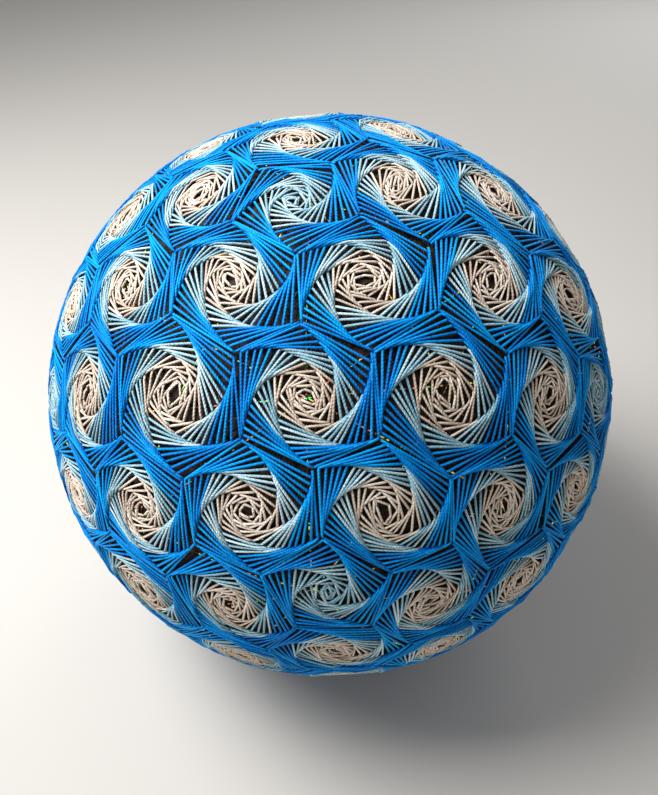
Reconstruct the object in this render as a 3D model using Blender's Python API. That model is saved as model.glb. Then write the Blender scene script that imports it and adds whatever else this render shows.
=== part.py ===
"""A temari: a ball wound in black thread, with a cover of stitched whirls over it.

The ball is marked out as a net of 80 triangles, and each line of that net is cut in three.
Those marks are the corners of 12 five-sided and 110 six-sided cells. Every cell is filled with
rounds of straight stitches, each round set a step further along the sides of the one before,
so the rounds turn as they shrink and pile up in curved ridges, one for each side of the cell.

Metres, +Z up. The origin is the middle of the small flat spot that the ball rests on.
"""

import math
from collections import namedtuple

import bmesh
import bpy
from mathutils import Matrix, Vector

# The ball, measured over its highest stitches
BALL_RADIUS = 0.070
FLAT_SPOT_RADIUS = 0.011
CENTRE_HEIGHT = math.sqrt(BALL_RADIUS**2 - FLAT_SPOT_RADIUS**2)

# The layers, from the outside in
COVER_THICKNESS = 0.0015
CLEARANCE = 0.0003
COVER_INSIDE_RADIUS = BALL_RADIUS - COVER_THICKNESS
WOUND_BALL_RADIUS = COVER_INSIDE_RADIUS - CLEARANCE

# How the marked ball lies: spun on its own pole, tipped to the front, then turned on the floor
LIE_SPIN = math.radians(67.1)
LIE_TIP = math.radians(19.0)
LIE_TURN = math.radians(-13.3)

# The marks were set out by hand, and lean a little across the face that looks up and forward
FACE_LOOKS_UP = math.radians(40.0)
FACE_RIGHT = Vector((1.0, 0.0, 0.0))
FACE_UP = Vector((0.0, math.sin(FACE_LOOKS_UP), math.cos(FACE_LOOKS_UP)))
LEAN = -0.042

# The relief of a cell: a ring of points where the rounds have shrunk to this share of the
# border. Each side of a ring has a high point where the stitches bunch and a low one where they
# spread, at these shares along it. Their heights are shares of the cover's thickness.
Ring = namedtuple("Ring", "shrunk_to high_at high low_at low")
BORDER = Ring(shrunk_to=1.00, high_at=0.00, high=0.70, low_at=0.50, low=0.20)
WHIRL = (
    Ring(shrunk_to=0.70, high_at=0.06, high=1.00, low_at=0.70, low=0.27),
    Ring(shrunk_to=0.44, high_at=0.06, high=1.00, low_at=0.70, low=0.45),
)
STEP_SHARE = 0.05
EYE_RADIUS = 0.0011
EYE_RIM = 0.75

BLUE = (0.004, 0.19, 0.80, 1.0)
BLACK = (0.012, 0.010, 0.010, 1.0)


def clear_scene():
    for thing in list(bpy.data.objects):
        bpy.data.objects.remove(thing)


def thread_finish(name, colour, roughness):
    finish = bpy.data.materials.new(name)
    finish.use_nodes = True
    shader = finish.node_tree.nodes["Principled BSDF"]
    shader.inputs["Base Color"].default_value = colour
    shader.inputs["Roughness"].default_value = roughness
    shader.inputs["Metallic"].default_value = 0.0
    return finish


def as_it_lies(direction):
    """Turns a mark of the upright ball to where it lies, with the lean of the hand division."""
    lie = Matrix.Rotation(LIE_TURN, 3, "Z") @ Matrix.Rotation(LIE_TIP, 3, "X")
    placed = lie @ Matrix.Rotation(LIE_SPIN, 3, "Z") @ direction
    right, up = placed.dot(FACE_RIGHT), placed.dot(FACE_UP)
    return (placed + LEAN * (up * FACE_RIGHT + right * FACE_UP)).normalized()


def clockwise(points, outward):
    """The same points in clockwise order, seen from outside the ball."""
    east = (points[0] - outward * points[0].dot(outward)).normalized()
    north = outward.cross(east)
    return sorted(points, key=lambda p: -math.atan2(p.dot(north), p.dot(east)))


def sides(corners):
    """Each corner with the next one clockwise."""
    return zip(corners, corners[1:] + corners[:1])


def marked_cells():
    """The cells as (middle, corners) in unit directions, the corners clockwise.

    A cell lies round each point of the 80-triangle net, and another on each triangle.
    A line of the net is cut in three, so each of its ends has one mark near it.
    """
    net = bmesh.new()
    bmesh.ops.create_icosphere(net, subdivisions=2, radius=1.0)
    mark = {}
    for line in net.edges:
        for near, far in (line.verts, reversed(line.verts)):
            mark[near, far] = as_it_lies((near.co.normalized() * 2 + far.co.normalized()) / 3)
    cells = []
    for point in net.verts:
        corners = [mark[point, line.other_vert(point)] for line in point.link_edges]
        cells.append((as_it_lies(point.co.normalized()), corners))
    for triangle in net.faces:
        corners = [mark[a, b] for a in triangle.verts for b in triangle.verts if a is not b]
        cells.append((sum(corners, Vector()).normalized(), corners))
    net.free()
    return [(middle, clockwise(corners, middle)) for middle, corners in cells]


def round_length(corners):
    return sum((ahead - here).length for here, ahead in sides(corners))


def whirled(corners, shrunk_to):
    """The corners of a round inside the cell, where the rounds have shrunk to a share.

    Every corner moves towards the next one by a small share of its side, again and again, so
    the rounds turn as they shrink and each corner draws the curve of one ridge.
    """
    shortest = shrunk_to * round_length(corners)
    while round_length(corners) > shortest:
        corners = [here.lerp(ahead, STEP_SHARE).normalized() for here, ahead in sides(corners)]
    return corners


def corners_turned(count, shrunk_to):
    """How many corners a whirl with this many sides has turned past when shrunk to a share."""
    half_side_angle = math.pi / count
    turn = -math.log(shrunk_to) / math.tan(half_side_angle)
    return math.ceil(turn / (2 * half_side_angle))


def on_stitches(direction, height):
    """A point on the stitches, pressed level in the flat spot under the ball."""
    point = direction.normalized() * (COVER_INSIDE_RADIUS + height * COVER_THICKNESS)
    if point.z < 0 and point.xy.length < FLAT_SPOT_RADIUS:
        point.z = -CENTRE_HEIGHT
    return point


def ring_points(corners, ring):
    """The ring's points clockwise, a high and a low one on each side, with their directions."""
    points = []
    for here, ahead in sides(whirled(corners, ring.shrunk_to)):
        for share, height in ((ring.high_at, ring.high), (ring.low_at, ring.low)):
            direction = here * (1 - share) + ahead * share
            points.append((direction, on_stitches(direction, height)))
    return points


def eye_points(middle, corners):
    """The rim of a cell's eye, on the flat facets that join the middle to the corners."""
    hub = middle * COVER_INSIDE_RADIUS
    spokes = [corner * COVER_INSIDE_RADIUS - hub for corner in corners]
    return [hub + spoke.normalized() * EYE_RADIUS for spoke in spokes]


def join_rings(mesh, outer, inner):
    """Triangles between two rings. The inner one has as many points, or half or twice as many."""
    steps = max(len(outer), len(inner))
    for step in range(steps):
        here = outer[step * len(outer) // steps]
        ahead = outer[(step + 1) * len(outer) // steps % len(outer)]
        there = inner[step * len(inner) // steps]
        beyond = inner[(step + 1) * len(inner) // steps % len(inner)]
        if ahead is not here:
            mesh.faces.new((here, there, ahead))
        if beyond is not there:
            mesh.faces.new((ahead, there, beyond))


def shared_vert(mesh, known, direction, place):
    """The vertex in this direction, made once and then shared by the cells that meet there."""
    key = direction.to_tuple(5)
    if key not in known:
        known[key] = mesh.verts.new(place)
    return known[key]


def as_object(name, mesh, finish):
    """A node from a mesh made about the ball's middle, raised so that it stands on its flat."""
    bmesh.ops.recalc_face_normals(mesh, faces=mesh.faces[:])
    data = bpy.data.meshes.new(name)
    mesh.to_mesh(data)
    mesh.free()
    data.transform(Matrix.Translation((0.0, 0.0, CENTRE_HEIGHT)))
    data.materials.append(finish)
    made = bpy.data.objects.new(name, data)
    bpy.context.scene.collection.objects.link(made)
    return made


def wound_ball(cells):
    """The ball of wound black thread: a facet from each cell's middle to each of its sides."""
    mesh = bmesh.new()
    known = {}
    for middle, corners in cells:
        top = mesh.verts.new(middle * WOUND_BALL_RADIUS)
        rim = [shared_vert(mesh, known, corner, corner * WOUND_BALL_RADIUS) for corner in corners]
        for here, ahead in sides(rim):
            mesh.faces.new((top, ahead, here))
    return as_object("wound_ball", mesh, thread_finish("black wound thread", BLACK, 0.85))


def stitched_cover(cells):
    """The stitches as one net round the ball, sewn through each other at every corner.

    Each whirl is rings of points that turn clockwise to an open eye. The eye and the facets
    under the stitches start at the corner that the whirl has turned to by then.
    """
    mesh = bmesh.new()
    outside, inside = {}, {}
    for middle, corners in cells:
        outer = [shared_vert(mesh, outside, *point) for point in ring_points(corners, BORDER)]
        for ring in WHIRL:
            turned = [mesh.verts.new(place) for _, place in ring_points(corners, ring)]
            join_rings(mesh, outer, turned)
            outer = turned
        turned_to = corners_turned(len(corners), WHIRL[-1].shrunk_to)
        corners = corners[turned_to:] + corners[:turned_to]
        eye = eye_points(middle, corners)
        top = [mesh.verts.new(on_stitches(point, EYE_RIM)) for point in eye]
        bottom = [mesh.verts.new(point) for point in eye]
        back = [shared_vert(mesh, inside, c, c * COVER_INSIDE_RADIUS) for c in corners]
        join_rings(mesh, outer, top)
        join_rings(mesh, top, bottom)
        join_rings(mesh, bottom, back)
    return as_object("stitched_cover", mesh, thread_finish("blue pearl thread", BLUE, 0.5))


def main():
    clear_scene()
    cells = marked_cells()
    wound_ball(cells)
    stitched_cover(cells)


main()
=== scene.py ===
# %% [markdown]
# A temari is a thread ball from the Japanese craft tradition. This one is wound in black thread,
# marked out with fine metallic lines, and stitched all over with whirls of pearl cotton that
# run from blue through pale blue to cream.
#
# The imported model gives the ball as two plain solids. Everything that shows here is made new
# round them: the wound black surface, the marking lines, every single stitch, and a little fluff.

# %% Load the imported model
import math
from collections import namedtuple

import bmesh
import bpy
import numpy as np
from mathutils import Matrix, Vector


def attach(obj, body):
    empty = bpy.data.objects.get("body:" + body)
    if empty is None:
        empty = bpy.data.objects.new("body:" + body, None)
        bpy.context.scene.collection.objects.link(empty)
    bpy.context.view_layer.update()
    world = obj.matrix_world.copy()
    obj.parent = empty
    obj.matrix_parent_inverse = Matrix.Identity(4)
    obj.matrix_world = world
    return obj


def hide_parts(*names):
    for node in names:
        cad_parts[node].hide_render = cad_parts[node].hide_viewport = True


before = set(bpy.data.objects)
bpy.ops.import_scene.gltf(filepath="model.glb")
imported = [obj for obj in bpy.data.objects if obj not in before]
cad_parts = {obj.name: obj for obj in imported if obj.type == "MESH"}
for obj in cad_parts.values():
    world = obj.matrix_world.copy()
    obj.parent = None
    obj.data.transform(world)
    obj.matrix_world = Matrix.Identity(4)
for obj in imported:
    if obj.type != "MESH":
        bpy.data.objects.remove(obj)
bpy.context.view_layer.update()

# %% [markdown]
# The sizes are the same named values as in the solid model, in metres. The ball stands on a
# small flat spot, where its thread gives under its weight, so its middle is a little lower
# than its radius. All shapes are worked out about that middle and raised at the end.

# %% The sizes of the ball
MM = 0.001
BALL_RADIUS = 70.0 * MM
FLAT_SPOT_RADIUS = 11.0 * MM
CENTRE_HEIGHT = math.sqrt(BALL_RADIUS**2 - FLAT_SPOT_RADIUS**2)
WOUND_RADIUS = 68.5 * MM
print("middle of the ball above the floor:", round(CENTRE_HEIGHT / MM, 2), "mm")

# %% [markdown]
# The camera looks down at the ball from 40 degrees, as in the photograph. It comes first,
# because every later choice is judged through it. The long side of the picture is upright, so
# the lens length counts along that side, and a very small shift puts the ball at the same
# place in the picture.

# %% The camera
LOOK_DOWN = math.radians(40.0)
CAMERA_DISTANCE = 2.821 * BALL_RADIUS
LENS_MM = 33.85
PICTURE_SHIFT = (-0.0015, -0.0036)

FACE_RIGHT = np.array([1.0, 0.0, 0.0])
FACE_UP = np.array([0.0, math.sin(LOOK_DOWN), math.cos(LOOK_DOWN)])
FACE_OUT = np.array([0.0, -math.cos(LOOK_DOWN), math.sin(LOOK_DOWN)])
CENTRE = np.array([0.0, 0.0, CENTRE_HEIGHT])


def looking_at_ball(thing, out, up, distance):
    """Puts a camera or a light at middle + out * distance, with its own -Z towards the ball."""
    right = np.cross(up, out)
    turn = Matrix([right / np.linalg.norm(right), np.cross(out, right), out]).transposed()
    thing.matrix_world = Matrix.Translation(Vector(CENTRE + out * distance)) @ turn.to_4x4()


camera = bpy.data.objects.new("camera", bpy.data.cameras.new("camera"))
camera.data.lens = LENS_MM
camera.data.shift_x, camera.data.shift_y = PICTURE_SHIFT
camera.data.clip_start = 1.0 * MM
looking_at_ball(camera, FACE_OUT, FACE_UP, CAMERA_DISTANCE)
bpy.context.scene.collection.objects.link(camera)
bpy.context.scene.camera = camera
print("camera at", [round(value, 3) for value in camera.location])

# %% [markdown]
# A temari is divided before it is stitched. Here the base is the division in ten: 12 marks,
# spread as evenly as possible, and the middles of the lines between them. That gives a net of
# 80 triangles. Each line of the net is then cut in three, and the cuts are the corners of 12
# five-sided and 110 six-sided cells. Blender's icosphere is that same net, so it is read once
# into arrays and never shown.
#
# The marks of the real ball were set out by hand. One small lean of the whole net, which was
# measured in the photograph, brings it near to where the marks really lie.

# %% The net of marks
LIE_SPIN = math.radians(67.1)
LIE_TIP = math.radians(19.0)
LIE_TURN = math.radians(-13.3)
LEAN = -0.042
LIE = np.array(
    Matrix.Rotation(LIE_TURN, 3, "Z")
    @ Matrix.Rotation(LIE_TIP, 3, "X")
    @ Matrix.Rotation(LIE_SPIN, 3, "Z")
)


def unit(vectors):
    """Every vector divided by its own length."""
    return vectors / np.linalg.norm(vectors, axis=-1, keepdims=True)


def as_they_lie(marks):
    """Turned marks p, then p + lean * (right * (p . up) + up * (p . right)), at unit length."""
    placed = marks @ LIE.T
    right, up = placed @ FACE_RIGHT, placed @ FACE_UP
    return unit(placed + LEAN * (up[..., None] * FACE_RIGHT + right[..., None] * FACE_UP))


net = bmesh.new()
bmesh.ops.create_icosphere(net, subdivisions=2, radius=1.0)
net.verts.index_update()
points = unit(np.array([point.co[:] for point in net.verts]))
lines = np.array([[end.index for end in line.verts] for line in net.edges])
triangles = np.array([[end.index for end in face.verts] for face in net.faces])
net.free()
print(len(points), "points,", len(lines), "lines and", len(triangles), "triangles in the net")

# %% [markdown]
# A cell lies round each point of the net and another on each triangle. Its corners are put in
# clockwise order, seen from outside, because the whirls turn that way. Each cell also gets an
# east and a north direction, so that a place in it can be found on a flat grid later.

# %% The cells
Cells = namedtuple("Cells", "middle east north corners")


def third_marks(near, far):
    """The mark a third of the way along a line: (2 near + far) / 3."""
    return as_they_lie((2 * points[near] + points[far]) / 3)


def clockwise_cells(middle, corners):
    """Sorts corners by falling angle atan2(corner . north, corner . east) about the middle."""
    along = (corners[:, 0] * middle).sum(-1, keepdims=True)
    east = unit(corners[:, 0] - along * middle)
    north = np.cross(middle, east)
    angle = np.arctan2(
        np.einsum("cnk,ck->cn", corners, north), np.einsum("cnk,ck->cn", corners, east)
    )
    order = np.argsort(-angle, axis=1)
    return Cells(middle, east, north, np.take_along_axis(corners, order[:, :, None], axis=1))


both_ways = np.concatenate([lines, lines[:, ::-1]])
both_ways = both_ways[np.argsort(both_ways[:, 0], kind="stable")]
lines_at_point = np.bincount(both_ways[:, 0])


def cells_round_points(line_count):
    """Middles and corners of the cells round the points where this many lines meet."""
    chosen = both_ways[lines_at_point[both_ways[:, 0]] == line_count]
    near, far = chosen.reshape(-1, line_count, 2).transpose(2, 0, 1)
    return as_they_lie(points[near[:, 0]]), third_marks(near, far)


five_middles, five_corners = cells_round_points(5)
six_middles, six_corners = cells_round_points(6)
triangle_corners = third_marks(triangles[:, [0, 0, 1, 1, 2, 2]], triangles[:, [1, 2, 0, 2, 0, 1]])
five_sided = clockwise_cells(five_middles, five_corners)
six_sided = clockwise_cells(
    np.concatenate([six_middles, unit(triangle_corners.sum(axis=1))]),
    np.concatenate([six_corners, triangle_corners]),
)
side_lengths = np.linalg.norm(six_sided.corners - np.roll(six_sided.corners, -1, 1), axis=-1)
print(len(five_sided.middle), "five-sided and", len(six_sided.middle), "six-sided cells")
print("mean side of a six-sided cell:", round(side_lengths.mean() * WOUND_RADIUS / MM, 2), "mm")

# %% [markdown]
# One whirl is a chain of rounds. A round is a polygon of straight stitches. Each corner of the
# next round is caught just inside the round before, a set step past its corner, so the rounds
# turn clockwise as they shrink. The stitches bunch where they start and fan out where they
# end, which draws the curved arms. Nothing but that rule is needed for the whole pattern.
#
# The thread is never cut between two rounds, so the last stitch of a round doesn't close it but
# runs on to the first corner of the next. Most corners of the first round are the cell's own,
# where the threads of three cells meet in a knot. A few are caught up to 1.1 mm past them, and
# leave a thin black wedge along the border.
#
# Blue fills five rounds, pale blue follows, and cream fills the middle, where the step is limited
# to a share of the side. The five-sided cells have no cream. A hand doesn't measure its
# steps, so each one is a little long or short. In the crowded middle there is no room for neat
# rounds: the last two are caught far inside, at odd angles, and leave a ragged eye open. On
# the five-sided cells it takes three.

# %% The rounds of the whirls
BORDER_INSET = 0.20 * MM
MOST_PAST_CORNER = 1.1 * MM
Rounds = namedtuple("Rounds", "count step inside share uneven wander")
BLUE_ROUNDS = Rounds(5, 1.36 * MM, 0.16 * MM, 0.45, 0.08, 0.06 * MM)
PALE_ROUNDS = Rounds(4, 1.36 * MM, 0.17 * MM, 0.42, 0.10, 0.08 * MM)
PALE_ROUNDS_OF_FIVE = Rounds(6, 1.34 * MM, 0.15 * MM, 0.40, 0.12, 0.10 * MM)
PALE_EYE_ROUNDS = Rounds(3, 1.40 * MM, 0.34 * MM, 0.44, 0.24, 0.24 * MM)
CREAM_ROUNDS = Rounds(5, 1.60 * MM, 0.20 * MM, 0.34, 0.14, 0.11 * MM)
CREAM_EYE_ROUNDS = Rounds(2, 2.20 * MM, 0.50 * MM, 0.46, 0.24, 0.24 * MM)
LEAST_SHARE = 0.02
MOST_SHARE = 0.62
MOST_INSIDE = 0.17
HAND = 0.03

chance = np.random.default_rng(122)


def border_round(cells):
    """Corners moved in by the inset, then along their sides by most * luck^3, luck from 0 to 1."""
    half_way = (cells.corners + np.roll(cells.corners, -1, 1)) / 2
    apothem = np.linalg.norm(half_way - cells.middle[:, None], axis=-1).mean(1) * WOUND_RADIUS
    share = (BORDER_INSET / apothem)[:, None, None]
    corners = cells.corners + (cells.middle[:, None] - cells.corners) * share
    side = np.roll(corners, -1, 1) - corners
    past = MOST_PAST_CORNER * chance.random(side.shape[:2] + (1,)) ** 3 / WOUND_RADIUS
    return unit(corners + unit(side) * past)


def caught(corners, ahead, rounds, hand):
    """Corner + (ahead - corner) * share + inside, where share = hand * step / side, and uneven.

    Inside is square to the side, and at most a share of it. A small wander, the same in every
    direction, is added to where the needle goes in.
    """
    side = ahead - corners
    length = np.linalg.norm(side, axis=-1, keepdims=True) * WOUND_RADIUS
    share = np.minimum(hand * rounds.step / length, rounds.share)
    share = share * (1 + rounds.uneven * chance.standard_normal(share.shape))
    inside = np.minimum(rounds.inside, MOST_INSIDE * length)
    inward = unit(np.cross(side, corners)) * inside / WOUND_RADIUS
    wander = chance.standard_normal(corners.shape) * rounds.wander / WOUND_RADIUS
    return unit(corners + side * np.clip(share, LEAST_SHARE, MOST_SHARE) + inward + wander)


def next_round(corners, rounds, hand):
    """Every corner is caught on its own side. The last side runs on to the new first corner."""
    ahead = np.roll(corners, -1, 1)
    moved = caught(corners, ahead, rounds, hand)
    moved[:, -1:] = caught(corners[:, -1:], moved[:, :1], rounds, hand)
    return moved


def all_rounds(cells, plan):
    """Starts and ends of every stitch, each (rounds, cells, sides, 3), from the border inwards.

    Each cell was made in one sitting, so it has its own hand: (1 + HAND * a normal number)
    * its side / the mean side.
    """
    hand = 1 + HAND * chance.standard_normal((len(cells.middle), 1, 1)).clip(-2, 2)
    side = np.linalg.norm(np.roll(cells.corners, -1, 1) - cells.corners, axis=-1).mean(1)
    hand = hand * (side / side.mean())[:, None, None]
    made = [border_round(cells)]
    for rounds in plan:
        for _ in range(rounds.count):
            made.append(next_round(made[-1], rounds, hand))
    made = np.array(made)
    ends = np.concatenate([made[:-1, :, 1:], made[1:, :, :1]], axis=2)
    return made[:-1], ends


six_plan = (BLUE_ROUNDS, PALE_ROUNDS, CREAM_ROUNDS, CREAM_EYE_ROUNDS)
five_plan = (BLUE_ROUNDS, PALE_ROUNDS_OF_FIVE, PALE_EYE_ROUNDS)
six_starts, six_ends = all_rounds(six_sided, six_plan)
five_starts, five_ends = all_rounds(five_sided, five_plan)
print(six_starts.shape, "six-sided and", five_starts.shape, "five-sided starts of stitches")
for number in (BLUE_ROUNDS.count, BLUE_ROUNDS.count + PALE_ROUNDS.count, -1):
    size = np.linalg.norm(six_starts[number] - six_sided.middle[:, None], axis=-1).mean()
    print("mean distance of round", number, "from its middle:", round(size * WOUND_RADIUS / MM, 2), "mm")

# %% [markdown]
# The stitches lie on each other, so each one needs its own height. They could all be laid at one
# level, but then they would cut through each other in the arms, and the whirl would look
# printed. Instead they are laid in the order in which they are sewn. A grid over each cell
# remembers how high the pile is. A stitch is a taut thread: seen from the side, it is the
# lowest line bent only outwards that clears everything under it.
#
# That line is found with slopes. For a slope m, the lowest straight line over a pile z(x) is
# m x + max(z - m x), and the taut thread is the lowest of these lines at each x. The ball
# itself bends away under the thread by x * x / (2 radius), so that is taken off first and put
# back at the end.
#
# At a corner three cells are caught on each other in a knot, so the pile starts there with a
# mound. Everywhere else the needle pulls the ends of a stitch down through the pile into the
# ball. So the pile counts there only up to a small height above the mound, and up to a little
# more with each millimetre from the end.

# %% How the stitches pile up
MOUND_HEIGHT = 0.90 * MM
MOUND_REACH = 2.7 * MM
PULLED_DOWN_TO = 0.36 * MM
RISE_FROM_END = 0.34
GRID_STEP = 0.20 * MM
GRID_HALF = 84
SAMPLES = 81
SLOPES = np.linspace(-0.9, 0.9, 91)
THREAD_ACROSS = np.linspace(-1.0, 1.0, 5)
SEAT_ACROSS = np.linspace(-0.55, 0.55, 3)
along = np.linspace(0.0, 1.0, SAMPLES)


def grid_places(cells, places):
    """Where directions fall on the flat grid: radius * (p . east, p . north) / (p . middle)."""
    flat = places / np.einsum("c...k,ck->c...", places, cells.middle)[..., None]
    east = np.einsum("c...k,ck->c...", flat, cells.east) * WOUND_RADIUS
    north = np.einsum("c...k,ck->c...", flat, cells.north) * WOUND_RADIUS
    row = np.clip(np.rint(north / GRID_STEP) + GRID_HALF, 0, 2 * GRID_HALF).astype(int)
    column = np.clip(np.rint(east / GRID_STEP) + GRID_HALF, 0, 2 * GRID_HALF).astype(int)
    cell = np.arange(len(places)).reshape((-1,) + (1,) * (row.ndim - 1))
    return np.broadcast_to(cell, row.shape), row, column


def taut(distance, pile):
    """The lowest line over a pile that bends only outwards, on a ball: see the cell above."""
    bend = distance**2 / (2 * WOUND_RADIUS)
    lines_at_zero = (pile - bend)[:, None, :] - SLOPES[None, :, None] * distance[:, None, :]
    over = lines_at_zero.max(axis=2)[:, :, None] + SLOPES[None, :, None] * distance[:, None, :]
    return over.min(axis=1) + bend


def lay_stitches(cells, mound, pile, start, end, half_width, thickness):
    """Lays one stitch in every cell at once and returns the height of its underside.

    The pile counts up to mound + pulled down + rise * distance from the stitch's nearer end.
    """
    line = unit(start[:, None] + (end - start)[:, None] * along[None, :, None])
    aside = unit(np.cross(end - start, start))[:, None] / WOUND_RADIUS
    seat = line[:, :, None] + aside[:, :, None] * (SEAT_ACROSS * half_width)[:, None]
    under = pile[grid_places(cells, seat)].max(axis=2)
    distance = np.linalg.norm(end - start, axis=-1)[:, None] * WOUND_RADIUS * along
    from_end = np.minimum(distance, distance[:, ::-1])
    most = mound[grid_places(cells, line)] + PULLED_DOWN_TO + RISE_FROM_END * from_end
    height = taut(distance, np.minimum(under, most))
    cover = line[:, :, None] + aside[:, :, None] * (THREAD_ACROSS * half_width)[:, None]
    rounding = 0.5 + 0.5 * np.sqrt(1 - (0.95 * THREAD_ACROSS) ** 2)
    top = height[:, :, None] + thickness * rounding
    np.maximum.at(pile, grid_places(cells, cover), top)
    return height


def corner_mounds(cells):
    """The pile to start from: height * exp(-(distance / reach)^2) round each corner."""
    flat = cells.corners / np.einsum("cnk,ck->cn", cells.corners, cells.middle)[..., None]
    east = np.einsum("cnk,ck->nc", flat, cells.east)[:, :, None, None] * WOUND_RADIUS
    north = np.einsum("cnk,ck->nc", flat, cells.north)[:, :, None, None] * WOUND_RADIUS
    places = GRID_STEP * (np.arange(2 * GRID_HALF + 1) - GRID_HALF)
    pile = np.zeros((len(cells.middle), len(places), len(places)))
    for corner_east, corner_north in zip(east, north):
        away = (places - corner_east) ** 2 + (places[:, None] - corner_north) ** 2
        pile = np.maximum(pile, MOUND_HEIGHT * np.exp(-away / MOUND_REACH**2))
    return pile


def pile_up(cells, starts, ends, half_widths, thicknesses):
    """Lays every round in turn. Heights come back as (rounds, sides, cells, samples)."""
    mound = corner_mounds(cells)
    pile = mound.copy()
    heights = np.empty((len(starts), starts.shape[2], len(cells.middle), SAMPLES))
    for number in range(len(starts)):
        for side in range(starts.shape[2]):
            heights[number, side] = lay_stitches(
                cells, mound, pile, starts[number, :, side], ends[number, :, side],
                half_widths[number], thicknesses[number],
            )
    return heights


# %% Lay all the stitches
Thread = namedtuple("Thread", "half_width thickness")
BLUE_THREAD = Thread(half_width=0.252 * MM, thickness=0.36 * MM)
PALE_THREAD = Thread(half_width=0.252 * MM, thickness=0.36 * MM)
CREAM_THREAD = Thread(half_width=0.242 * MM, thickness=0.38 * MM)


def threads_of(plan, threads):
    """The half width and the thickness of each round, from the thread of each part of the plan."""
    chosen = [thread for rounds, thread in zip(plan, threads) for _ in range(rounds.count)]
    return [thread.half_width for thread in chosen], [thread.thickness for thread in chosen]


six_heights = pile_up(six_sided, six_starts, six_ends, *threads_of(
    six_plan, (BLUE_THREAD, PALE_THREAD, CREAM_THREAD, CREAM_THREAD)
))
five_heights = pile_up(five_sided, five_starts, five_ends, *threads_of(
    five_plan, (BLUE_THREAD, PALE_THREAD, PALE_THREAD)
))
print("highest underside, six-sided:", round(six_heights.max() / MM, 2), "mm")
print("highest underside, five-sided:", round(five_heights.max() / MM, 2), "mm")
print("mean of the last round:", round(six_heights[-1].mean() / MM, 2), "mm")

# %% [markdown]
# Cotton gives when it is piled up. A pile h high settles to limit * (1 - exp(-h / limit)), which
# keeps the order of the layers and stops a deep pile from standing out of the ball.
#
# Under the ball everything is pressed to the floor in the same way, and that makes the flat
# spot. Both are rules for points, so they are used for every piece.

# %% Settle the piles and press the flat spot
SETTLE_LIMIT = 2.30 * MM
PRESS_FROM = -68.62 * MM


def settled(height):
    """limit * (1 - exp(-h / limit))."""
    return SETTLE_LIMIT * (1 - np.exp(-height / SETTLE_LIMIT))


def pressed(places):
    """Below a level z0 the depth eases to the floor: z0 - room * (1 - exp(-(z0 - z) / room))."""
    room = PRESS_FROM + CENTRE_HEIGHT
    deep = np.maximum(PRESS_FROM - places[..., 2], 0.0)
    eased = np.minimum(places[..., 2], PRESS_FROM) + deep - room * (1 - np.exp(-deep / room))
    places[..., 2] = np.where(deep > 0, eased, places[..., 2])
    return places


print("a pile of 2 mm settles to", round(settled(2 * MM) / MM, 2), "mm")

# %% [markdown]
# Every thread on the ball, thick or thin, is the same shape: a flattened ring carried along a
# path. Thousands of them are made at once as one array, and put into one mesh per colour.
# A curve object for each stitch would look the same, but Blender would have to look after
# more than eleven thousand objects.
#
# The UV map gives each tube its own length in millimetres and its turn round the thread, so the
# twist of the cotton can follow the thread. A shade attribute tells the threads apart.

# %% Tubes along many paths
Tubes = namedtuple("Tubes", "places uv shade")


def tubes(path, outward, half_width, half_height, ring, shade):
    """path + across * half_width * cos(a) + up * half_height * sin(a), for a round the ring.

    Path and outward are (tubes, nodes, 3). Across is forward x outward, and up is square to both.
    """
    forward = unit(np.gradient(path, axis=1))
    across = unit(np.cross(forward, outward))
    up = np.cross(across, forward)
    angle = 2 * np.pi * np.arange(ring) / ring
    flat = across[:, :, None] * np.cos(angle)[:, None] * half_width
    tall = up[:, :, None] * np.sin(angle)[:, None] * half_height
    gaps = np.linalg.norm(np.diff(path, axis=1), axis=-1)
    length = np.concatenate([np.zeros((len(path), 1)), np.cumsum(gaps, axis=1)], axis=1) / MM
    return Tubes(path[:, :, None] + flat + tall, length + 3.7 * shade[:, None], shade)


def tube_faces(count, nodes, ring, closed):
    """Corner numbers of the wall quads and, on open tubes, of the two end caps."""
    steps = nodes if closed else nodes - 1
    tube, step, turn = np.meshgrid(np.arange(count), np.arange(steps), np.arange(ring), indexing="ij")
    here = tube * nodes * ring + step * ring
    ahead = tube * nodes * ring + (step + 1) % nodes * ring
    beside = (turn + 1) % ring
    walls = np.stack([here + turn, ahead + turn, ahead + beside, here + beside], axis=-1)
    if closed:
        return walls.reshape(-1, 4), np.empty((0, ring), int)
    first = np.arange(count)[:, None] * nodes * ring + np.arange(ring)
    caps = np.concatenate([first, first[:, ::-1] + (nodes - 1) * ring])
    return walls.reshape(-1, 4), caps


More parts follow.
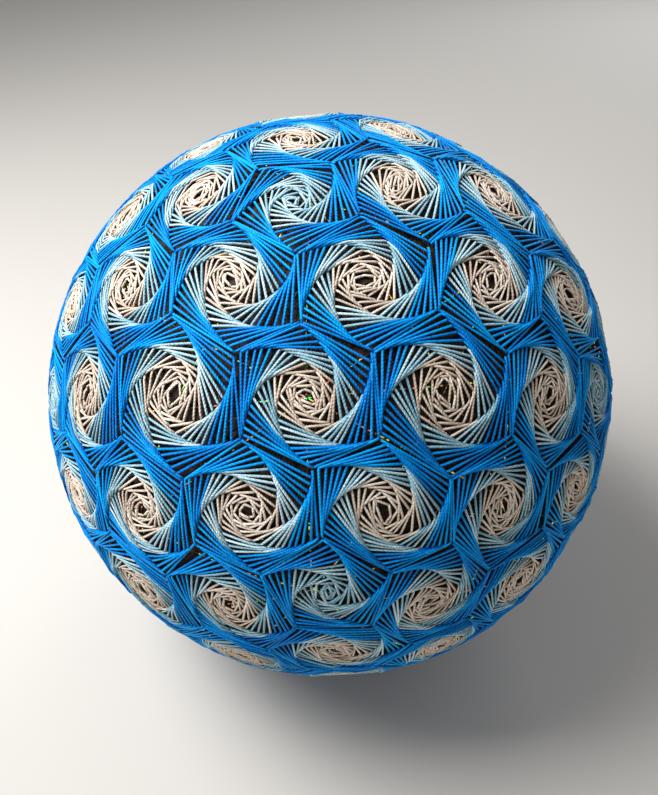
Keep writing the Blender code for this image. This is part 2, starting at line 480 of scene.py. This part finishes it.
def thread_mesh(name, groups, closed=False):
    """One mesh object from groups of tubes, with its UV map, shade attribute and smooth faces."""
    places, corners, starts, uv, shade = [], [], [], [], []
    vertex_count = loop_count = 0
    for group in groups:
        count, nodes, ring, _ = group.places.shape
        walls, caps = tube_faces(count, nodes, ring, closed)
        length = np.repeat(group.uv.reshape(-1), ring)
        turn = np.tile(np.arange(ring) / ring, count * nodes)
        wall_uv = np.stack([length[walls], turn[walls]], axis=-1)
        wall_uv[:, 2:, 1] = np.where(wall_uv[:, 2:, 1] == 0.0, 1.0, wall_uv[:, 2:, 1])
        if closed:
            wall_uv[:, 1:3, 0] = np.maximum(wall_uv[:, 1:3, 0], wall_uv[:, [0], 0])
        cap_uv = np.stack([length[caps], turn[caps]], axis=-1)
        places.append(group.places.reshape(-1, 3))
        corners += [(walls + vertex_count).ravel(), (caps + vertex_count).ravel()]
        starts.append(loop_count + 4 * np.arange(len(walls)))
        starts.append(loop_count + walls.size + ring * np.arange(len(caps)))
        uv += [wall_uv.reshape(-1, 2), cap_uv.reshape(-1, 2)]
        shade.append(np.repeat(group.shade, nodes * ring))
        vertex_count += count * nodes * ring
        loop_count += walls.size + caps.size
    return mesh_object(name, *(np.concatenate(part) for part in (places, corners, starts, uv, shade)))


def mesh_object(name, places, corners, starts, uv, shade):
    """Puts the arrays into a mesh, presses it under the ball and raises it to its height."""
    mesh = bpy.data.meshes.new(name)
    mesh.vertices.add(len(places))
    mesh.vertices.foreach_set("co", (pressed(places) + CENTRE).astype(np.float32).ravel())
    mesh.loops.add(len(corners))
    mesh.loops.foreach_set("vertex_index", corners.astype(np.int32))
    mesh.polygons.add(len(starts))
    mesh.polygons.foreach_set("loop_start", starts.astype(np.int32))
    mesh.polygons.foreach_set("use_smooth", np.ones(len(starts), bool))
    mesh.update(calc_edges=True)
    mesh.uv_layers.new(name="along_thread").data.foreach_set("uv", uv.astype(np.float32).ravel())
    attribute = mesh.attributes.new("thread_shade", "FLOAT", "POINT")
    attribute.data.foreach_set("value", shade.astype(np.float32))
    made = bpy.data.objects.new(name, mesh)
    bpy.context.scene.collection.objects.link(made)
    print(name, len(corners) - 2 * len(starts), "triangles")
    return made


# %% [markdown]
# A stitch goes down into the ball at both ends, so its first and last nodes dip. The last one
# also reaches a little past the thread that it is caught on. The nodes between them are close
# together near the start, where the pile is steep, and far apart where the thread runs straight.
#
# Each colour is split into an upper and a lower mesh, so that no single mesh is very heavy.

# %% Turn the laid stitches into tubes
DIP = 0.20 * MM
PAST_THE_CATCH = 0.16 * MM
BLUE_NODES = np.array([0, 4, 14, 32, 54, 76, 80])
PALE_NODES = np.array([0, 5, 22, 50, 75, 80])
CREAM_NODES = np.array([0, 12, 68, 80])


def stitch_tubes(start, end, heights, thread, nodes, ring):
    """Tubes for some rounds: node = direction * (wound radius + settled height + half thickness)."""
    reach = PAST_THE_CATCH / (np.linalg.norm(end - start, axis=-1, keepdims=True) * WOUND_RADIUS)
    share = np.where(nodes == nodes[-1], 1.0, nodes / (SAMPLES - 1))
    share = share + reach * (nodes == nodes[-1])
    direction = unit(start[..., None, :] + (end - start)[..., None, :] * share[..., None])
    height = settled(heights.transpose(0, 2, 1, 3)[..., nodes]) + thread.thickness / 2
    height = height - DIP * ((nodes == nodes[0]) | (nodes == nodes[-1]))
    path = direction * (WOUND_RADIUS + height)[..., None]
    path, direction = (part.reshape(-1, len(nodes), 3) for part in (path, direction))
    shade = chance.random(len(path))
    return tubes(path, direction, thread.half_width, thread.thickness / 2 * 1.08, ring, shade)


def stitch_piece(name, parts, thread, nodes, ring, upper):
    """One mesh of the cells whose middle is above, or below, the middle of the ball."""
    groups = []
    for cells, starts, ends, heights in parts:
        half = (cells.middle[:, 2] > 0) == upper
        groups.append(
            stitch_tubes(starts[:, half], ends[:, half], heights[:, :, half], thread, nodes, ring)
        )
    return thread_mesh(name, groups)


# %% The stitches in three colours
blue_end = BLUE_ROUNDS.count
pale_end = blue_end + PALE_ROUNDS.count


def some_rounds(cells, starts, ends, heights, first, last):
    """The stitches of the rounds from first up to, but without, last."""
    return cells, starts[first:last], ends[first:last], heights[first:last]


six_stitches = (six_sided, six_starts, six_ends, six_heights)
five_stitches = (five_sided, five_starts, five_ends, five_heights)
blue_parts = (
    some_rounds(*six_stitches, 0, blue_end), some_rounds(*five_stitches, 0, blue_end)
)
pale_parts = (
    some_rounds(*six_stitches, blue_end, pale_end), some_rounds(*five_stitches, blue_end, None)
)
cream_parts = (some_rounds(*six_stitches, pale_end, None),)
blue_upper = stitch_piece("blue_stitches_upper", blue_parts, BLUE_THREAD, BLUE_NODES, 6, True)
blue_lower = stitch_piece("blue_stitches_lower", blue_parts, BLUE_THREAD, BLUE_NODES, 6, False)
pale_upper = stitch_piece("pale_stitches_upper", pale_parts, PALE_THREAD, PALE_NODES, 6, True)
pale_lower = stitch_piece("pale_stitches_lower", pale_parts, PALE_THREAD, PALE_NODES, 6, False)
cream_upper = stitch_piece("cream_stitches_upper", cream_parts, CREAM_THREAD, CREAM_NODES, 6, True)
cream_lower = stitch_piece("cream_stitches_lower", cream_parts, CREAM_THREAD, CREAM_NODES, 6, False)

# %% [markdown]
# Between the stitches the black wound surface shows. The real one is a core wrapped with
# hundreds of metres of sewing thread. A smooth ball with a bumpy finish would do from far away,
# but the gaps here are wide enough to look into. So the ball is smooth, and a few hundred loops
# of real thread lie on it, each one nearly a great circle, as a winding hand turns the ball.

# %% The wound ball and its outer windings
CORE_RADIUS = 68.42 * MM
WINDING_COUNT = 230
WINDING_NODES = 60
WINDING_HALF_WIDTH = 0.13 * MM
OFF_CENTRE = 0.10


def ring_frame(axis):
    """Two directions square to each axis and to each other."""
    helper = np.where(np.abs(axis[:, [2]]) > 0.8, [[1.0, 0.0, 0.0]], [[0.0, 0.0, 1.0]])
    first = unit(np.cross(axis, helper))
    return first, np.cross(axis, first)


def loops(name, axis, off_centre, radius, nodes, half_width, half_height, ring, shade):
    """Circles on the ball: radius * (axis * off + sqrt(1 - off^2) * (first cos a + second sin a))."""
    first, second = ring_frame(axis)
    angle = 2 * np.pi * np.arange(nodes) / nodes
    circle = first[:, None] * np.cos(angle)[:, None] + second[:, None] * np.sin(angle)[:, None]
    off = off_centre[:, None, None]
    direction = axis[:, None] * off + circle * np.sqrt(1 - off**2)
    path = direction * radius[:, None, None]
    wrapped = np.concatenate([path[:, -1:], path, path[:, :1]], axis=1)
    outward = np.concatenate([direction[:, -1:], direction, direction[:, :1]], axis=1)
    made = tubes(wrapped, outward, half_width, half_height, ring, shade)
    trimmed = Tubes(made.places[:, 1:-1], made.uv[:, 1:-1], shade)
    return thread_mesh(name, [trimmed], closed=True)


core_mesh = bmesh.new()
bmesh.ops.create_icosphere(core_mesh, subdivisions=6, radius=CORE_RADIUS)
bmesh.ops.translate(core_mesh, verts=core_mesh.verts, vec=Vector(CENTRE))
for face in core_mesh.faces:
    face.smooth = True
core_data = bpy.data.meshes.new("wound_core")
core_mesh.to_mesh(core_data)
core_mesh.free()
wound_core = bpy.data.objects.new("wound_core", core_data)
bpy.context.scene.collection.objects.link(wound_core)

windings = loops(
    "wound_threads",
    unit(chance.standard_normal((WINDING_COUNT, 3))),
    OFF_CENTRE * chance.standard_normal(WINDING_COUNT).clip(-2, 2),
    WOUND_RADIUS + 0.03 * MM * chance.standard_normal(WINDING_COUNT).clip(-2, 2),
    WINDING_NODES, WINDING_HALF_WIDTH, WINDING_HALF_WIDTH * 0.8, 4, chance.random(WINDING_COUNT),
)
print("wound core", len(core_data.polygons), "triangles")

# %% [markdown]
# The marking lines were laid before the stitching, with a fine metallic thread. A division in
# ten has 15 great circles through its marks. This net also has the circles that lie square
# to each of its 21 axes, and those pass where the photograph shows the coloured glints.

# %% The marking lines
GUIDE_HALF_WIDTH = 0.13 * MM
GUIDE_RADIUS = WOUND_RADIUS + 0.16 * MM
GUIDE_NODES = 160

one_of_each_pair = points[np.lexsort(np.round(points, 5).T)][len(points) // 2:]
guide_axes = as_they_lie(one_of_each_pair)
guides = loops(
    "marking_threads", guide_axes, np.zeros(len(guide_axes)),
    np.full(len(guide_axes), GUIDE_RADIUS), GUIDE_NODES, GUIDE_HALF_WIDTH,
    GUIDE_HALF_WIDTH, 4, chance.random(len(guide_axes)),
)

# %% [markdown]
# Cotton sheds. Short loose fibres stand over the black gaps in the photograph and make them
# look brown rather than black. They are the same tubes again, very thin, each one bent once.

# %% Loose fibres
FIBRE_COUNT = 1500
FIBRE_HALF_WIDTH = 0.028 * MM
fibre_share = np.linspace(-0.5, 0.5, 4)


def loose_fibres():
    """Middle + heading * length * t + aside * bend * (t^2), lifted 0.2 to 1 mm off the ball."""
    middle = unit(chance.standard_normal((FIBRE_COUNT, 3)))
    heading = unit(np.cross(middle, chance.standard_normal((FIBRE_COUNT, 3))))
    length = chance.uniform(1.2, 3.4, (FIBRE_COUNT, 1, 1)) * MM
    bend = chance.uniform(-2.4, 2.4, (FIBRE_COUNT, 1, 1)) * MM
    aside = np.cross(middle, heading)
    share = fibre_share[None, :, None]
    flat = heading[:, None] * length * share + aside[:, None] * bend * share**2
    direction = unit(middle[:, None] * WOUND_RADIUS + flat)
    lift = chance.uniform(0.2, 1.0, (FIBRE_COUNT, 1, 1)) * MM
    path = direction * (WOUND_RADIUS + lift)
    return tubes(path, direction, FIBRE_HALF_WIDTH, FIBRE_HALF_WIDTH, 3, chance.random(FIBRE_COUNT))


fibres = thread_mesh("loose_fibres", [loose_fibres()])

# %% [markdown]
# Pearl cotton has two plies, twisted so that slanting crests run along it, and a soft sheen. The
# finish reads the thread's own UV map: u is the length in millimetres and v the turn round
# the thread, so sin(2 pi (u / pitch - 2 v)) gives two crests per turn, one for each ply. That
# wave drives a small bump and a painted shade that darkens the groove between the plies. The
# crest of the thread, at v = 1/4, is painted lighter than its sides, a painted shade for the light
# that falls on the top of a round thread. The shade attribute and a slow noise on the ball make
# some stitches a touch lighter or darker, as dyed thread is.

# %% Finishes: helpers
def new_finish(name, roughness, specular):
    """A material with its Principled shader, set to a plain cloth-like gloss."""
    finish = bpy.data.materials.new(name)
    finish.use_nodes = True
    shader = finish.node_tree.nodes["Principled BSDF"]
    shader.inputs["Roughness"].default_value = roughness
    shader.inputs["Specular IOR Level"].default_value = specular
    return finish, shader


def add_node(finish, kind, inputs=(), **settings):
    """A node of that kind with its settings, and inputs given by name as a value or a socket."""
    node = finish.node_tree.nodes.new(kind)
    for setting, value in settings.items():
        setattr(node, setting, value)
    for socket, value in dict(inputs).items():
        if isinstance(value, bpy.types.NodeSocket):
            finish.node_tree.links.new(value, node.inputs[socket])
        else:
            node.inputs[socket].default_value = value
    return node


def maths(finish, operation, first, second=0.0, third=0.0):
    """The output of one Math node."""
    node = add_node(finish, "ShaderNodeMath", {0: first, 1: second, 2: third}, operation=operation)
    return node.outputs[0]


# %% Finish: pearl cotton
CREST_SPACING = 0.66
BUMP_HEIGHT = 0.03 * MM
# painted shade: the next value and the crest weight below set how much lighter a thread's top is than
# its sides
CREST_SHADE_MIDDLE = 0.78
# painted shade: the next weight sets how much the twist wave darkens the grooves between the plies
TWIST_GROOVE_SHADE_WEIGHT = 0.08
CREST_SHADE_WEIGHT = 0.36
SHADE_WEIGHT = 0.34
SLOW_WEIGHT = 0.5
FINE_WEIGHT = 0.9


def add_swing(finish, tone, value, middle, weight):
    """tone + weight * (value - middle)."""
    return maths(finish, "MULTIPLY_ADD", maths(finish, "SUBTRACT", value, middle), weight, tone)


def pearl_cotton(name, dark, mid, light, sheen):
    """Colour from dark through mid to light by painted shade in the twist grooves and on the thread's
    sides, thread shade and noises.
    """
    finish, shader = new_finish(name, 0.60, 0.10)
    uv = add_node(finish, "ShaderNodeUVMap", uv_map="along_thread")
    parts = add_node(finish, "ShaderNodeSeparateXYZ", {0: uv.outputs[0]})
    turn = maths(finish, "MULTIPLY", parts.outputs[1], 2.0)
    phase = maths(finish, "MULTIPLY_ADD", parts.outputs[0], 1 / CREST_SPACING, turn)
    wave = maths(finish, "SINE", maths(finish, "MULTIPLY", phase, 2 * math.pi))
    place = add_node(finish, "ShaderNodeTexCoord")
    slow = add_node(finish, "ShaderNodeTexNoise",
                    {"Vector": place.outputs["Object"], "Scale": 45.0, "Detail": 2.0})
    fine = add_node(finish, "ShaderNodeTexNoise", {
        "Vector": place.outputs["Object"], "Scale": 1900.0, "Detail": 3.0, "Roughness": 0.7,
    })
    shade = add_node(finish, "ShaderNodeAttribute", attribute_name="thread_shade")
    # painted shade: the twist wave darkens the colour in the grooves between the plies
    tone = maths(finish, "MULTIPLY_ADD", wave, TWIST_GROOVE_SHADE_WEIGHT, 0.5)
    # painted shade: the top of the thread is lighter and its sides darker, as light falls on a round
    # thread
    painted_crest_shade = maths(finish, "SINE", maths(finish, "MULTIPLY", parts.outputs[1], 2 * math.pi))
    tone = add_swing(finish, tone, painted_crest_shade, CREST_SHADE_MIDDLE, CREST_SHADE_WEIGHT)
    tone = add_swing(finish, tone, shade.outputs["Fac"], 0.5, SHADE_WEIGHT)
    tone = add_swing(finish, tone, slow.outputs[0], 0.5, SLOW_WEIGHT)
    tone = add_swing(finish, tone, fine.outputs[0], 0.5, FINE_WEIGHT)
    ramp = add_node(finish, "ShaderNodeValToRGB", {0: tone})
    ramp.color_ramp.elements[0].position, ramp.color_ramp.elements[0].color = 0.15, (*dark, 1)
    ramp.color_ramp.elements[1].position, ramp.color_ramp.elements[1].color = 0.85, (*light, 1)
    ramp.color_ramp.elements.new(0.5).color = (*mid, 1)
    height = maths(finish, "MULTIPLY_ADD", fine.outputs[0], 0.6, wave)
    bump = add_node(finish, "ShaderNodeBump", {
        "Height": height, "Strength": 0.8, "Distance": BUMP_HEIGHT,
    })
    links = finish.node_tree.links
    links.new(ramp.outputs[0], shader.inputs["Base Color"])
    links.new(bump.outputs[0], shader.inputs["Normal"])
    shader.inputs["Sheen Weight"].default_value = 0.35
    shader.inputs["Sheen Roughness"].default_value = 0.4
    shader.inputs["Sheen Tint"].default_value = (*sheen, 1)
    return finish


blue_cotton = pearl_cotton(
    "blue pearl cotton", (0.0, 0.11, 0.46), (0.0, 0.27, 0.86), (0.0, 0.52, 1.0), (0.0, 0.60, 1.0)
)
pale_cotton = pearl_cotton(
    "pale blue pearl cotton",
    (0.12, 0.32, 0.43), (0.33, 0.57, 0.70), (0.77, 0.95, 1.0), (0.8, 0.95, 1.0)
)
cream_cotton = pearl_cotton(
    "cream pearl cotton", (0.44, 0.33, 0.25), (0.76, 0.65, 0.55), (1.0, 0.94, 0.86), (1.0, 0.95, 0.9)
)
print("three finishes of pearl cotton, with crests every", CREST_SPACING, "mm")

# %% [markdown]
# The black thread is matte, a little brown where light catches its lint. The smooth ball under
# the loops only has to look like more of the same winding, so its bump is a fine noise drawn
# out along two directions. The marking thread is dark, with single flecks painted as glints in
# red, gold, green or cyan: a Voronoi pattern gives each tiny block of space one random colour,
# and only the few blocks with a high enough number get a bright painted glint colour and a faint glow.

# %% Finishes: wound black thread, fibres and marking thread
def black_thread():
    """Near-black with brown lint by noise, and a thready bump from two stretched noises."""
    finish, shader = new_finish("wound black thread", 0.8, 0.2)
    place = add_node(finish, "ShaderNodeTexCoord")
    lint = add_node(finish, "ShaderNodeTexNoise", {
        "Vector": place.outputs["Object"], "Scale": 900.0, "Detail": 4.0, "Roughness": 0.7,
    })
    ramp = add_node(finish, "ShaderNodeValToRGB", {0: lint.outputs[0]})
    black, brown = ramp.color_ramp.elements
    black.position, black.color = 0.40, (0.004, 0.0035, 0.004, 1)
    brown.position, brown.color = 0.78, (0.100, 0.066, 0.050, 1)
    heights = []
    for stretch in ((2600.0, 260.0, 900.0), (300.0, 2400.0, 700.0)):
        mapping = add_node(finish, "ShaderNodeMapping", {
            "Vector": place.outputs["Object"], "Scale": stretch, "Rotation": (0.5, 0.9, 0.4),
        })
        drawn = add_node(finish, "ShaderNodeTexNoise", {"Vector": mapping.outputs[0], "Scale": 1.0})
        heights.append(drawn.outputs[0])
    height = maths(finish, "MAXIMUM", heights[0], heights[1])
    bump = add_node(finish, "ShaderNodeBump", {
        "Height": height, "Strength": 0.7, "Distance": 0.15 * MM,
    })
    finish.node_tree.links.new(ramp.outputs[0], shader.inputs["Base Color"])
    finish.node_tree.links.new(bump.outputs[0], shader.inputs["Normal"])
    return finish


def fibre_finish():
    """Brown lint, lighter or darker from fibre to fibre."""
    finish, shader = new_finish("brown lint", 0.9, 0.1)
    shade = add_node(finish, "ShaderNodeAttribute", attribute_name="thread_shade")
    ramp = add_node(finish, "ShaderNodeValToRGB", {0: shade.outputs["Fac"]})
    ramp.color_ramp.elements[0].color = (0.05, 0.035, 0.028, 1)
    ramp.color_ramp.elements[1].color = (0.42, 0.31, 0.24, 1)
    finish.node_tree.links.new(ramp.outputs[0], shader.inputs["Base Color"])
    return finish


# painted glints: the size of the flecks and the share of blocks that stay dark
GLINT_FLECK_SIZE = 0.42 * MM
GLINT_FLECK_SHARE = 0.83


def marking_finish():
    """Dark brown thread. Where a block's red number is over a level, it is a painted glint of hue
    green^1.5 / 2, which glows faintly.
    """
    finish, shader = new_finish("metallic marking thread", 0.35, 0.5)
    place = add_node(finish, "ShaderNodeTexCoord")
    blocks = add_node(finish, "ShaderNodeTexVoronoi",
                      {"Vector": place.outputs["Object"], "Scale": 1 / GLINT_FLECK_SIZE})
    numbers = add_node(finish, "ShaderNodeSeparateColor", {0: blocks.outputs["Color"]})
    # painted glints: the few blocks over the level get a bright hue in the base colour
    glint_mask = maths(finish, "GREATER_THAN", numbers.outputs[0], GLINT_FLECK_SHARE)
    squared = maths(finish, "POWER", numbers.outputs[1], 1.5)
    glint_hue = add_node(finish, "ShaderNodeCombineColor",
                   {0: maths(finish, "MULTIPLY", squared, 0.5), 1: 0.85, 2: 1.0}, mode="HSV")
    colour = add_node(finish, "ShaderNodeMix",
                      {0: glint_mask, 6: (0.045, 0.026, 0.016, 1), 7: glint_hue.outputs[0]}, data_type="RGBA")
    # painted glint: the same blocks glow faintly, though the thread is no lamp
    glint_glow = add_node(finish, "ShaderNodeMix",
                     {0: glint_mask, 6: (0.0, 0.0, 0.0, 1), 7: glint_hue.outputs[0]}, data_type="RGBA")
    finish.node_tree.links.new(colour.outputs[2], shader.inputs["Base Color"])
    finish.node_tree.links.new(glint_glow.outputs[2], shader.inputs["Emission Color"])
    shader.inputs["Emission Strength"].default_value = 0.5
    return finish


wound_black = black_thread()
brown_lint = fibre_finish()
marking_thread = marking_finish()
print("three more finishes:", wound_black.name, "|", brown_lint.name, "|", marking_thread.name)

# %% [markdown]
# Each piece now gets its finish and the body that it moves with. The record's slot for each is
# listed beside it but not used. The ball has no joints, so that is the root. The stitches stand
# for the imported cover, and the core stands for the imported ball, which stay behind as hidden solids.

# %% Hand the pieces over
dressed = (
    (blue_upper, blue_cotton, "blue_thread", "stitched_cover"),
    (blue_lower, blue_cotton, "blue_thread", "stitched_cover"),
    (pale_upper, pale_cotton, "pale_thread", "stitched_cover"),
    (pale_lower, pale_cotton, "pale_thread", "stitched_cover"),
    (cream_upper, cream_cotton, "cream_thread", "stitched_cover"),
    (cream_lower, cream_cotton, "cream_thread", "stitched_cover"),
    (wound_core, wound_black, "black_ball", "wound_ball"),
    (windings, wound_black, "black_ball", None),
    (guides, marking_thread, "metallic_thread", None),
    (fibres, brown_lint, "black_ball", None),
)
for piece, finish, slot, node in dressed:
    piece.data.materials.append(finish)
    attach(piece, "root")
    if node:
        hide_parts(node)
print(len(dressed), "pieces ride on the root body")

# %% [markdown]
# The studio is plain: a pale floor, pale light from all round, and one large soft light above
# and to the left, where the photograph's highlights are. Two weaker ones keep the other sides
# from going dark: a warm one in front, low on the right, and a white one behind.

# %% Floor, world and light
FLOOR_HALF = 8.0
floor_mesh = bpy.data.meshes.new("floor")
floor_mesh.from_pydata(
    [(FLOOR_HALF * x, FLOOR_HALF * y, 0) for x, y in ((-1, -1), (1, -1), (1, 1), (-1, 1))],
    [], [(0, 1, 2, 3)],
)
floor = bpy.data.objects.new("floor", floor_mesh)
bpy.context.scene.collection.objects.link(floor)
floor_finish, floor_shader = new_finish("pale floor", 0.8, 0.3)
floor_shader.inputs["Base Color"].default_value = (0.66, 0.64, 0.61, 1)
floor.data.materials.append(floor_finish)

world = bpy.data.worlds.new("pale studio")
world.use_nodes = True
world.node_tree.nodes["Background"].inputs["Color"].default_value = (0.95, 0.97, 1.0, 1)
world.node_tree.nodes["Background"].inputs["Strength"].default_value = 0.22
bpy.context.scene.world = world


def soft_light(name, out, distance, size, energy, colour):
    """A square area light at middle + out * distance that faces the ball."""
    light = bpy.data.objects.new(name, bpy.data.lights.new(name, "AREA"))
    light.data.size = size
    light.data.energy = energy
    light.data.color = colour
    looking_at_ball(light, unit(np.array(out)), np.array([0.0, 1.0, 0.0]), distance)
    bpy.context.scene.collection.objects.link(light)
    return light


soft_light("key_light", (-0.62, 0.0, 0.90), 0.50, 0.30, 4.0, (1.0, 0.98, 0.95))
soft_light("front_fill", (0.25, -1.0, 0.4), 0.9, 0.6, 0.45, (1.0, 0.78, 0.58))
soft_light("back_fill", (0.5, 1.0, 0.5), 0.9, 0.6, 1.8, (1.0, 1.0, 1.0))

bpy.context.scene.view_settings.view_transform = "Standard"
